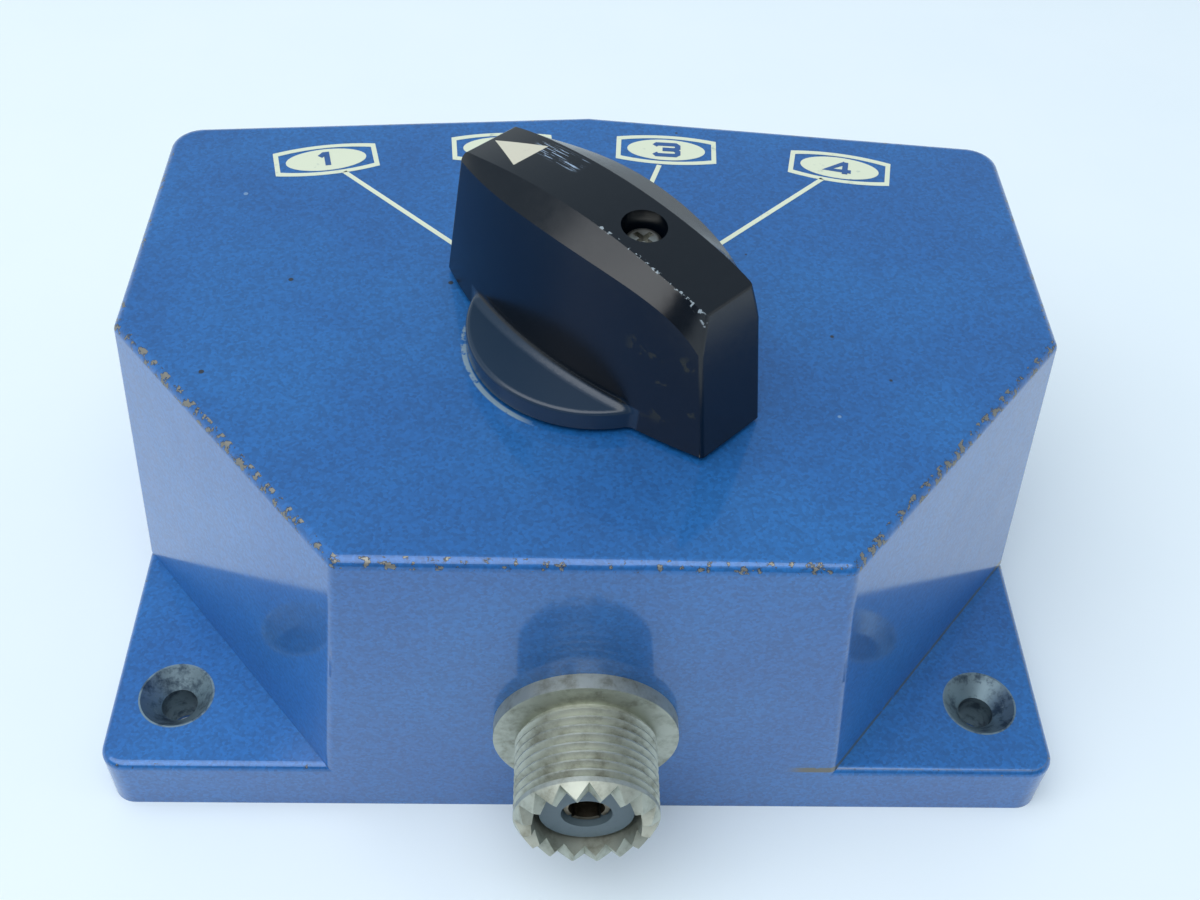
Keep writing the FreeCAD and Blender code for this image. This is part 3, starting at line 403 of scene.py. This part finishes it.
@dataclass(frozen=True)
class MouldedPlastic:
    """Moulded plastic or pressed phenolic, with fine handling marks in its gloss."""

    name: str
    colour: str
    worn: str
    roughness: float = 0.3
    coat: float = 0.0
    mark_mm: float = 1.2
    wear: float = 0.3

    def build(self) -> bpy.types.Material:
        """Make the material.

        Returns:
            Material for a moulded piece.
        """
        material, tree, shader = blank_material(self.name)
        self.dress(tree, shader, add(tree, "TexCoord").outputs["Object"])
        return material

    def dress(self, tree: bpy.types.NodeTree, shader: bpy.types.Node,
              place: bpy.types.NodeSocket) -> bpy.types.NodeSocket:
        """Wire the gloss and relief and mix the colour.

        Args:
            tree: Node tree.
            shader: Principled shader node.
            place: Object coordinates.

        Returns:
            Colour socket, already linked, for more layers.
        """
        marks = add(tree, "TexNoise", {"Vector": place, "Scale": 1 / (self.mark_mm * MM), "Detail": 8.0,
                                       "Roughness": 0.7}).outputs[0]
        tint = layer(tree, self.colour, self.worn, meet(tree, band(tree, marks, 0.8, 2, 0.3), self.wear))
        tree.links.new(tint, shader.inputs["Base Color"])
        gloss = add(tree, "MapRange", {0: marks, 3: self.roughness - 0.06,
                                       4: self.roughness + 0.12}).outputs[0]
        tree.links.new(gloss, shader.inputs["Roughness"])
        settle(shader, coat_weight=self.coat, coat_roughness=0.08)
        bump = add(tree, "Bump", {"Height": marks, "Strength": 0.08, "Distance": 0.05 * MM})
        tree.links.new(bump.outputs[0], shader.inputs["Normal"])
        return tint


@dataclass(frozen=True)
class KnobPhenolic(MouldedPlastic):
    """The knob's pressed phenolic: scuffed beside the mark, pale dots along its front top edge that are partly
    wear and partly a painted highlight, a painted sheen lightening its round base, dirt low down.
    """

    scuff: str = "#9DB2CC"
    # Pale colour of the dots on the front top edge: partly rubbed wear, partly a painted highlight of the
    # edge.
    rubbed: str = "#9AA6AE"
    dirt: str = "#3A3820"
    # Lighter blue-grey painted on the knob's round base as the sheen of the bright room it mirrors.
    skirt_sheen: str = "#203246"
    rest_deg: float = 44.0

    def build(self) -> bpy.types.Material:
        """Make the material.

        Returns:
            Material for the knob.
        """
        material, tree, shader = blank_material(self.name)
        tint = self.dress(tree, shader, add(tree, "TexCoord").outputs["Object"])
        axis = Vector(frame["joints"][0]["pos_m"]) / MM
        place = local(tree, tuple(axis), 90 + self.rest_deg)
        axes = add(tree, "SeparateXYZ", {0: place}).outputs
        facing = add(tree, "SeparateXYZ", {0: add(tree, "TexCoord").outputs["Normal"]}).outputs["Z"]
        long = add(tree, "VectorMath", {0: place, 1: (0.3, 8.0, 1.0)}, operation="MULTIPLY").outputs[0]
        streak = add(tree, "TexNoise", {"Vector": long, "Scale": 1.0, "Detail": 3.0}).outputs[0]
        near_mark = meet(tree, band(tree, axes["X"], 5.5, 11, 1.5), band(tree, axes["Y"], -2.9, -1.0, 0.6),
                         band(tree, facing, 0.9, 1, 0.05), band(tree, streak, 0.6, 1, 0.06), 0.8)
        tint = layer(tree, tint, self.scuff, near_mark)
        # Painted sheen: the knob below 3.2 mm and within 14.6 mm of the axis is lightened to the base's sheen
        # colour.
        flat = add(tree, "VectorMath", {0: place, 1: (1, 1, 0)}, operation="MULTIPLY").outputs[0]
        away = add(tree, "VectorMath", {0: flat}, operation="LENGTH").outputs["Value"]
        foot = meet(tree, band(tree, axes["Z"], -1, 3.2, 0.5), band(tree, away, -1, 14.6, 0.5))
        tint = layer(tree, tint, self.skirt_sheen, foot)
        # Pale dots along the front top edge: partly rubbed wear, partly a painted highlight standing in for
        # the glints a rounded edge would catch.
        wear_and_glint_dots = add(tree, "TexNoise", {"Vector": place, "Scale": 1.6, "Detail": 3.0}).outputs[0]
        rim = meet(tree, band(tree, axes["Y"], 3.45, 3.7, 0.12), band(tree, axes["X"], -18, -4, 2),
                   band(tree, axes["Z"], 17, 22, 0.5), band(tree, wear_and_glint_dots, 0.6, 1, 0.06), 0.8)
        tint = layer(tree, tint, self.rubbed, rim)
        smear = add(tree, "TexNoise", {"Vector": place, "Scale": 0.5, "Detail": 4.0}).outputs[0]
        low = meet(tree, band(tree, axes["X"], -19, -12, 2), band(tree, axes["Y"], 3, 9, 0.5),
                   band(tree, axes["Z"], 4, 12, 2), band(tree, smear, 0.6, 1, 0.04), 0.5)
        tree.links.new(layer(tree, tint, self.dirt, low), shader.inputs["Base Color"])
        return material


@dataclass(frozen=True)
class ScreenInk:
    """Screen-printed ink: flat, a little rubbed, so the paint shows faintly through."""

    name: str
    colour: str
    rubbed: str

    def build(self) -> bpy.types.Material:
        """Make the material.

        Returns:
            Material for print.
        """
        material, tree, shader = blank_material(self.name)
        place = add(tree, "TexCoord").outputs["Object"]
        rub = add(tree, "TexNoise", {"Vector": place, "Scale": 900.0, "Detail": 5.0}).outputs[0]
        tree.links.new(layer(tree, self.colour, self.rubbed, rub, 0.62, 0.8), shader.inputs["Base Color"])
        settle(shader, roughness=0.45, coat_weight=0.2, coat_roughness=0.2)
        return material


def mesh_object(name: str, mesh: bmesh.types.BMesh, material: bpy.types.Material) -> bpy.types.Object:
    """Turn a bmesh into a linked object with a material.

    Args:
        name: Name of the piece.
        mesh: Finished bmesh, which is freed.
        material: Material of the piece.

    Returns:
        The new object.
    """
    data = bpy.data.meshes.new(name)
    bmesh.ops.recalc_face_normals(mesh, faces=mesh.faces)
    mesh.to_mesh(data)
    mesh.free()
    data.materials.append(material)
    made = bpy.data.objects.new(name, data)
    bpy.context.scene.collection.objects.link(made)
    return made


def slab(loops: list[list[Vector]], bottom: float, top: float) -> bmesh.types.BMesh:
    """Thin closed slab on an outer loop, with one inner loop as its hole if given.

    Args:
        loops: One loop, or an outer and an inner loop with as many points each.
        bottom: Lower height in metres.
        top: Upper height in metres.

    Returns:
        Closed bmesh.
    """
    mesh = bmesh.new()
    levels = [[[mesh.verts.new((p.x, p.y, z)) for p in loop] for loop in loops] for z in (bottom, top)]
    count = len(loops[0])
    if len(loops) == 1:
        mesh.faces.new(levels[0][0])
        mesh.faces.new(levels[1][0])
    for i in range(count):
        j = (i + 1) % count
        for k in range(len(loops)):
            mesh.faces.new((levels[0][k][i], levels[0][k][j], levels[1][k][j], levels[1][k][i]))
        if len(loops) == 2:
            for level in levels:
                mesh.faces.new((level[0][i], level[0][j], level[1][j], level[1][i]))
    return mesh


NUMERALS = {
    1: [[(-0.45, 0.55), (-0.1, 1.0), (0.1, 1.0), (0.1, -1.0)]],
    2: [[(-0.95, 0.55), (-0.8, 0.95), (0.8, 0.95), (0.95, 0.6), (0.95, 0.25), (0.7, 0.0), (-0.75, -0.3),
         (-0.95, -0.55), (-0.95, -0.95), (0.95, -0.95)]],
    3: [[(-0.95, 0.65), (-0.75, 0.95), (0.75, 0.95), (0.95, 0.7), (0.95, 0.3), (0.7, 0.02), (0.95, -0.3),
         (0.95, -0.7), (0.75, -0.95), (-0.75, -0.95), (-0.95, -0.65)], [(-0.3, 0.02), (0.7, 0.02)]],
    4: [[(0.95, -0.5), (-0.95, -0.5), (0.45, 0.95)], [(0.45, 1.0), (0.45, -1.0)]],
}


def pen_stroke(points: list[Vector], width: float) -> list[Vector]:
    """Outline of a stroke of even width along a path, with mitred turns.

    Args:
        points: Path.
        width: Width of the stroke.

    Returns:
        Closed loop of points.
    """
    left, right = [], []
    for i, point in enumerate(points):
        before = (point - points[i - 1]).normalized() if i else None
        after = (points[i + 1] - point).normalized() if i + 1 < len(points) else None
        way = ((before or after) + (after or before)).normalized()
        side = Vector((-way.y, way.x, 0))
        cut = Vector((-(after or before).y, (after or before).x, 0)).dot(side)
        reach = width / 2 / max(cut, 0.5)
        left.append(point + side * reach)
        right.append(point - side * reach)
    return left + right[::-1]


@dataclass
class Finishes:
    """Every material of the switch, made once."""

    enamel: bpy.types.Material = field(default_factory=lambda: FlakeEnamel().build())
    ink: bpy.types.Material = field(
        default_factory=lambda: ScreenInk("cream_screen_ink", "#D6DDC6", "#AEBBB0").build())
    numeral: bpy.types.Material = field(
        default_factory=lambda: ScreenInk("blue_numeral_ground", "#2A558F", "#3A66A0").build())
    mark: bpy.types.Material = field(
        default_factory=lambda: ScreenInk("white_filled_mark", "#CBC7B5", "#B2ADA0").build())
    phenolic: bpy.types.Material = field(
        default_factory=lambda: KnobPhenolic("pressed_black_phenolic", "#030A14", "#101B29",
                                             0.2, 0.0, 1.2, 0.3).build())
    insulator: bpy.types.Material = field(
        default_factory=lambda: MouldedPlastic("moulded_grey_insulator", "#55666F", "#3F4B52",
                                               0.45, 0.0, 0.8, 0.6).build())
    nickel: bpy.types.Material = field(
        default_factory=lambda: TurnedMetal("dull_nickel_plate_on_turned_brass", "#BFC3B8", "#8D8E80",
                                            0.54).build())
    contact: bpy.types.Material = field(
        default_factory=lambda: TurnedMetal("tarnished_silver_plate", "#8E8574", "#4E473B", 0.34).build())
    steel: bpy.types.Material = field(
        default_factory=lambda: TurnedMetal("zinc_plated_screw_steel", "#B4B5B0", "#77766C", 0.32).build())
    brass: bpy.types.Material = field(
        default_factory=lambda: TurnedMetal("turned_brass", "#B99A5B", "#7B6233", 0.3).build())
    spring: bpy.types.Material = field(
        default_factory=lambda: TurnedMetal("ground_spring_steel", "#8C8E90", "#5F6062", 0.28).build())
    strip: bpy.types.Material = field(
        default_factory=lambda: TurnedMetal("silver_plated_copper_strip", "#B9B4A6", "#8A6A4A", 0.3).build())
    sheet: bpy.types.Material = field(
        default_factory=lambda: TurnedMetal("rolled_aluminium_sheet", "#A9ACAE", "#85878A", 0.4, 6.0).build())


@dataclass
class Print:
    """Cream print on the top face: four numbered frames and their leader lines."""

    finishes: Finishes
    half_width: float = 6.55
    half_height: float = 2.4
    bow: float = 0.75
    line: float = 0.62
    oval_half_width: float = 5.1
    oval_half_height: float = 2.25
    numeral_height: float = 2.5
    numeral_width: float = 3.2
    numeral_pen: float = 0.72
    ink_thickness: float = 0.04
    leader_end_radius: float = 17.5
    arc_steps: int = 14
    oval_steps: int = 48
    labels: tuple = ((-33.7, 65.2, 12.7), (-11.3, 68.9, 5.0), (10.1, 69.2, -3.1), (32.6, 66.2, -11.0))
    fan_point: tuple = (-0.9, 34.0)

    def __post_init__(self) -> None:
        """Find the printed face and the front of the housing in the frame."""
        low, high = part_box("housing")
        self.front = low.y
        self.face = high.z
        joint = frame["joints"][0]
        self.axis = Vector(joint["pos_m"])

    def barrel(self, shrink: float) -> list[Vector]:
        """Outline of a label frame: straight short sides, bowed long ones.

        Args:
            shrink: How far the outline is drawn in, in millimetres.

        Returns:
            Loop of plan points in millimetres about the label's middle.
        """
        half_x, half_y = self.half_width - shrink, self.half_height - shrink
        across = [half_x * (1 - 2 * i / self.arc_steps) for i in range(self.arc_steps + 1)]
        upper = [Vector((x, half_y + self.bow * (1 - (x / half_x) ** 2), 0)) for x in across]
        return upper + [Vector((-p.x, -p.y, 0)) for p in upper]

    def oval(self) -> list[Vector]:
        """Outline of a label's oval.

        Returns:
            Loop of plan points in millimetres about the label's middle.
        """
        turns = [2 * math.pi * i / self.oval_steps for i in range(self.oval_steps)]
        wide, high = self.oval_half_width, self.oval_half_height
        return [Vector((wide * math.cos(t), high * math.sin(t), 0)) for t in turns]

    def placed(self, loop: list[Vector], label: tuple) -> list[Vector]:
        """Move a loop to its label's place on the housing.

        Args:
            loop: Plan points in millimetres about the label's middle.
            label: Middle x and y from the front face, and turn in degrees.

        Returns:
            Plan points in metres.
        """
        x, y, turn = label
        spin = Matrix.Rotation(math.radians(turn), 3, "Z")
        return [(spin @ p + Vector((x, y, 0))) * MM + Vector((0, self.front, 0)) for p in loop]

    def printed(self, name: str, loops: list[list[Vector]], layer: int,
                material: bpy.types.Material) -> bpy.types.Object:
        """Make one flat printed piece.

        Args:
            name: Name of the piece.
            loops: Outline, and a hole if any, in metres.
            layer: 1 on the paint, 2 on another print.
            material: Ink.

        Returns:
            The piece, riding on the case.
        """
        thickness = self.ink_thickness * MM
        bottom = self.face + thickness * (layer - 1.5)
        piece = mesh_object(name, slab(loops, bottom, self.face + thickness * layer), material)
        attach(piece, Body.CASE.value)
        return piece

    def numeral(self, number: int, label: tuple) -> list[bpy.types.Object]:
        """Make a numeral in its oval from wide pen strokes.

        Args:
            number: 1 to 4.
            label: Middle x and y from the front face, and turn in degrees.

        Returns:
            The strokes, riding on the case.
        """
        made = []
        for index, path in enumerate(NUMERALS[number]):
            points = [Vector((x * self.numeral_width / 2, y * self.numeral_height / 2, 0)) for x, y in path]
            loop = pen_stroke(points, self.numeral_pen)
            name = f"numeral_{number}_{index}"
            made.append(self.printed(name, [self.placed(loop, label)], 2 + index, self.finishes.numeral))
        return made

    def leader(self, number: int, label: tuple) -> bpy.types.Object:
        """Make the line from a label towards the knob.

        Args:
            number: 1 to 4.
            label: Middle x and y from the front face, and turn in degrees.

        Returns:
            The piece, riding on the case.
        """
        middle = Vector((label[0] * MM, label[1] * MM + self.front, 0))
        fan = Vector((self.fan_point[0] * MM, self.fan_point[1] * MM + self.front, 0))
        way = (fan - middle).normalized()
        start = middle + way * (self.half_height + self.bow) * 1.12 * MM
        hub = Vector((self.axis.x, self.axis.y, 0))
        reach = (hub - start).length - self.leader_end_radius * MM
        end = start + way * reach
        side = Vector((-way.y, way.x, 0)) * self.line * MM / 2
        loop = [start + side, start - side, end - side, end + side]
        return self.printed(f"leader_{number}", [loop], 1, self.finishes.ink)

    def build(self) -> list[bpy.types.Object]:
        """Make all the print.

        Returns:
            The printed pieces.
        """
        made = []
        for number, label in enumerate(self.labels, 1):
            rim = [self.placed(self.barrel(0), label), self.placed(self.barrel(self.line), label)]
            made.append(self.printed(f"label_frame_{number}", rim, 1, self.finishes.ink))
            oval = [self.placed(self.oval(), label)]
            made.append(self.printed(f"label_oval_{number}", oval, 1, self.finishes.ink))
            made += self.numeral(number, label)
            made.append(self.leader(number, label))
        return made


@dataclass
class Castings:
    """Housing and bottom cover."""

    finishes: Finishes

    def build(self) -> list[str]:
        """Dress the casting and its cover.

        Returns:
            Names of the nodes dressed.
        """
        dress(self.finishes.enamel, "housing")
        dress(self.finishes.sheet, "bottom_cover")
        dress(self.finishes.steel, "cover_screws")
        return ["housing", "bottom_cover", "cover_screws"]


@dataclass
class Connectors:
    """The five coaxial connectors."""

    finishes: Finishes
    names: tuple = ("common", "port_1", "port_2", "port_3", "port_4")

    def build(self) -> list[str]:
        """Dress each connector's pieces.

        Returns:
            Names of the nodes dressed.
        """
        done = []
        for name in self.names:
            dress(self.finishes.nickel, name + "_shell")
            dress(self.finishes.insulator, name + "_insulator")
            dress(self.finishes.contact, name + "_contact")
            dress(self.finishes.steel, name + "_washer", name + "_nut")
            done.append(name)
        return done


@dataclass
class KnobSet:
    """Knob, mark, screw and the brass hub inside."""

    finishes: Finishes

    def build(self) -> list[str]:
        """Dress the knob's pieces.

        Returns:
            Names of the nodes dressed.
        """
        dress(self.finishes.phenolic, "knob")
        dress(self.finishes.mark, "pointer_mark")
        dress(self.finishes.steel, "knob_screw", "hub_set_screw")
        dress(self.finishes.brass, "knob_hub")
        return ["knob", "pointer_mark", "knob_screw", "hub_set_screw", "knob_hub"]


@dataclass
class Works:
    """Spindle, detent and switching parts inside the housing."""

    finishes: Finishes

    def build(self) -> list[str]:
        """Dress the inner pieces.

        Returns:
            Names of the nodes dressed.
        """
        groups = {
            self.finishes.spring: ["spindle", "detent_spring", "stop_pin"],
            self.finishes.brass: ["spindle_bushing", "detent_wheel", "blade_stud"],
            self.finishes.steel: ["thrust_washer", "spindle_clip", "stud_clip", "rotor_pin",
                                  "detent_spring_screw"],
            self.finishes.strip: ["ground_plate", "rotor_blade", "common_strip"]
            + [f"port_strip_{i}" for i in range(1, 5)],
            self.finishes.insulator: ["rotor_insulator"],
        }
        for material, names in groups.items():
            dress(material, *names)
        return [name for names in groups.values() for name in names]


def dress(material: bpy.types.Material, *names: str) -> None:
    """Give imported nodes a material.

    Args:
        material: Material to assign.
        names: Node names.
    """
    for name in names:
        data = frame["nodes"][name].data
        data.materials.clear()
        data.materials.append(material)


@dataclass
class Studio:
    """Floor, light and camera."""

    floor_colour: str = "#E2EDF4"
    fibre_colour: str = "#E7F0F6"
    sky_colour: str = "#E6F1F7"
    dim_colour: str = "#A4B4C0"
    front_colour: str = "#5E6872"
    sky_strength: float = 0.98
    softbox_place: tuple = (-0.3, -0.3, 1.0)
    softbox_size: float = 1.3
    softbox_watts: float = 11.0
    floor_half: float = 1500.0
    eye_mm: tuple = (-5.33, -85.06, 156.14)
    aim_mm: tuple = (0.63, 15.49, 47.2)
    roll_deg: float = 3.47
    lens_mm: float = 42.36

    def floor(self) -> bpy.types.Object:
        """Make the pale floor.

        Returns:
            The floor.
        """
        material, tree, shader = blank_material("pale_paper_floor")
        place = add(tree, "TexCoord").outputs["Object"]
        fibre = add(tree, "TexNoise", {"Vector": place, "Scale": 40.0, "Detail": 3.0}).outputs[0]
        tint = add(tree, "Mix", {0: fibre, 6: linear(self.floor_colour), 7: linear(self.fibre_colour)},
                   data_type="RGBA")
        tree.links.new(tint.outputs[2], shader.inputs["Base Color"])
        settle(shader, roughness=0.7)
        half = self.floor_half * MM
        corners = [Vector((x * half, y * half, 0)) for x, y in ((-1, -1), (1, -1), (1, 1), (-1, 1))]
        thick = 2 * MM
        floor = mesh_object("floor", slab([corners], -thick, 0.0), material)
        return floor

    def sky(self) -> None:
        """Light the scene from all round: dimmer high up behind and on the camera's side."""
        world = bpy.data.worlds.new("pale_room")
        bpy.context.scene.world = world
        world.use_nodes = True
        tree = world.node_tree
        back = tree.nodes["Background"]
        way = add(tree, "SeparateXYZ", {0: add(tree, "TexCoord").outputs["Generated"]}).outputs
        behind = meet(tree, band(tree, way["Z"], 0.45, 1.1, 0.35), band(tree, way["Y"], 0.25, 1.1, 0.5))
        ahead = meet(tree, band(tree, way["Y"], -1.1, -0.45, 0.35), band(tree, way["Z"], -1, 0.55, 0.25))
        dimmed = layer(tree, self.sky_colour, self.dim_colour, behind)
        tree.links.new(layer(tree, dimmed, self.front_colour, ahead), back.inputs["Color"])
        back.inputs["Strength"].default_value = self.sky_strength

    def lamp(self, name: str, place: tuple, size: float, power: float, aim: tuple = (0, 0, 0.03)) -> None:
        """Add one soft lamp.

        Args:
            name: Name of the lamp.
            place: Position in metres.
            size: Side of the square lamp in metres.
            power: Power in watts.
            aim: Point it faces, in metres.
        """
        data = bpy.data.lights.new(name, "AREA")
        data.shape = "SQUARE"
        data.size = size
        data.energy = power
        made = bpy.data.objects.new(name, data)
        made.location = place
        made.rotation_euler = (Vector(aim) - Vector(place)).to_track_quat("-Z", "Y").to_euler()
        bpy.context.scene.collection.objects.link(made)

    def camera(self) -> None:
        """Stand the camera where the photograph was taken from."""
        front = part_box("housing")[0].y
        shift = Vector((0, front, 0))
        eye = Vector(self.eye_mm) * MM + shift
        aim = Vector(self.aim_mm) * MM + shift
        data = bpy.data.cameras.new("camera")
        data.sensor_fit = "HORIZONTAL"
        data.sensor_width = 36.0
        data.lens = self.lens_mm
        data.clip_start, data.clip_end = 0.005, 20.0
        made = bpy.data.objects.new("camera", data)
        bpy.context.scene.collection.objects.link(made)
        look = (aim - eye).to_track_quat("-Z", "Y").to_matrix().to_4x4()
        roll = Matrix.Rotation(math.radians(self.roll_deg), 4, "Z")
        made.matrix_world = Matrix.Translation(eye) @ look @ roll
        bpy.context.scene.camera = made

    def build(self) -> None:
        """Set the floor, light, camera and view."""
        self.floor()
        self.sky()
        self.lamp("overhead_softbox", self.softbox_place, self.softbox_size, self.softbox_watts)
        self.camera()
        bpy.context.scene.view_settings.view_transform = "Standard"


def main() -> None:
    """Build and dress every piece in order, and report each."""
    logging.basicConfig(level=logging.INFO, format="%(name)s: %(message)s")
    finishes = Finishes()
    LOG.info("castings: %s", Castings(finishes).build())
    LOG.info("connectors: %s", Connectors(finishes).build())
    LOG.info("knob: %s", KnobSet(finishes).build())
    LOG.info("works: %s", Works(finishes).build())
    LOG.info("print: %s", [piece.name for piece in Print(finishes).build()])
    Studio().build()
    LOG.info("studio: floor, lamps and camera")


if __name__ == "__main__":
    main()
